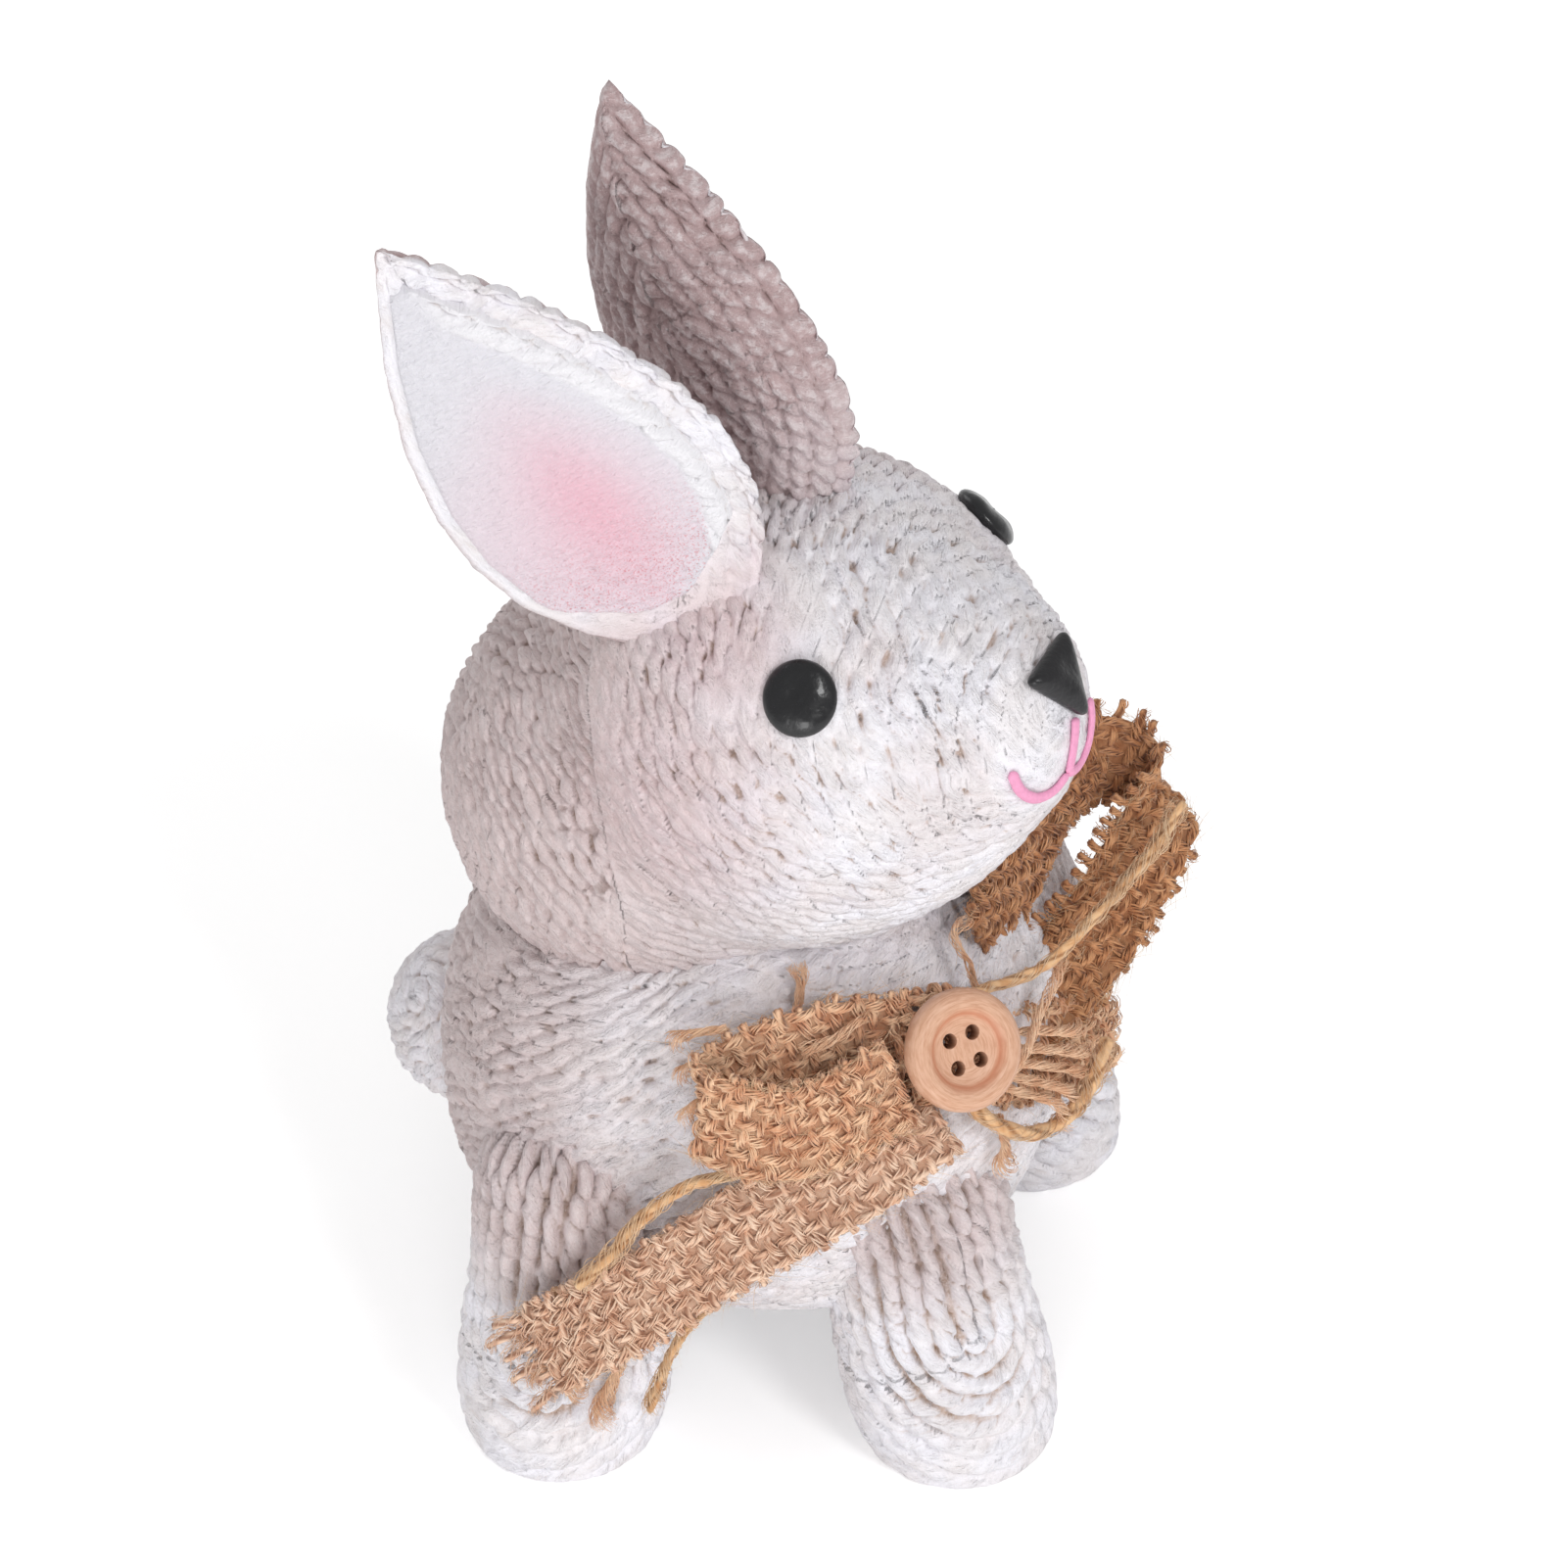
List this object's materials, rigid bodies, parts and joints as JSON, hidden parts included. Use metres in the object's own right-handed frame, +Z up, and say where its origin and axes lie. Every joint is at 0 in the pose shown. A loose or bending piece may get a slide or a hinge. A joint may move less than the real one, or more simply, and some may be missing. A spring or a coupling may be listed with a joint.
{
  "type": "resin rabbit figurine",
  "caption": "Standing rabbit ornament in cord-wound resin with upright ears, round tail, black eyes and nose, and a burlap neck bow fastened by a wooden button.",
  "frame": {"origin": "the middle of the footprint, on the ground under the four feet", "axes": "+Z up, the rabbit's body faces -Y, and its right side, where the button is, is on -X"},
  "size_m": [0.1046, 0.1034, 0.1761],
  "materials": {
    "wound_resin": "matte off-white cast cord relief with taupe airbrushing in the hollows and on the back",
    "ear_resin": "matte cord relief, taupe on the back and off-white on the rim",
    "ear_lining": "matte fine cloth relief, pink in the middle fading to white",
    "eye": "glossy black enamel",
    "nose": "satin black enamel",
    "mouth": "satin pink painted line",
    "burlap": "coarse open woven jute cloth with frayed edges",
    "button_wood": "turned pale wood, satin",
    "jute": "hairy twisted jute yarn"
  },
  "bodies": {
    "root": {"torso": "wound_resin", "head": "wound_resin", "ear_right": "ear_resin", "ear_left": "ear_resin", "ear_lining_right": "ear_lining", "ear_lining_left": "ear_lining", "eye_right": "eye", "eye_left": "eye", "nose": "nose", "mouth": "mouth", "leg_front_right": "wound_resin", "leg_front_left": "wound_resin", "leg_hind_right": "wound_resin", "leg_hind_left": "wound_resin", "tail": "wound_resin", "bow_knot": "burlap", "bow_loop_right": "burlap", "bow_loop_left": "burlap", "bow_tail_right": "burlap", "bow_tail_left": "burlap", "button": "button_wood", "jute_strand_long": "jute", "jute_strand_upper": "jute", "jute_strand_arc": "jute", "jute_strand_loose": "jute"}
  },
  "joints": []
}
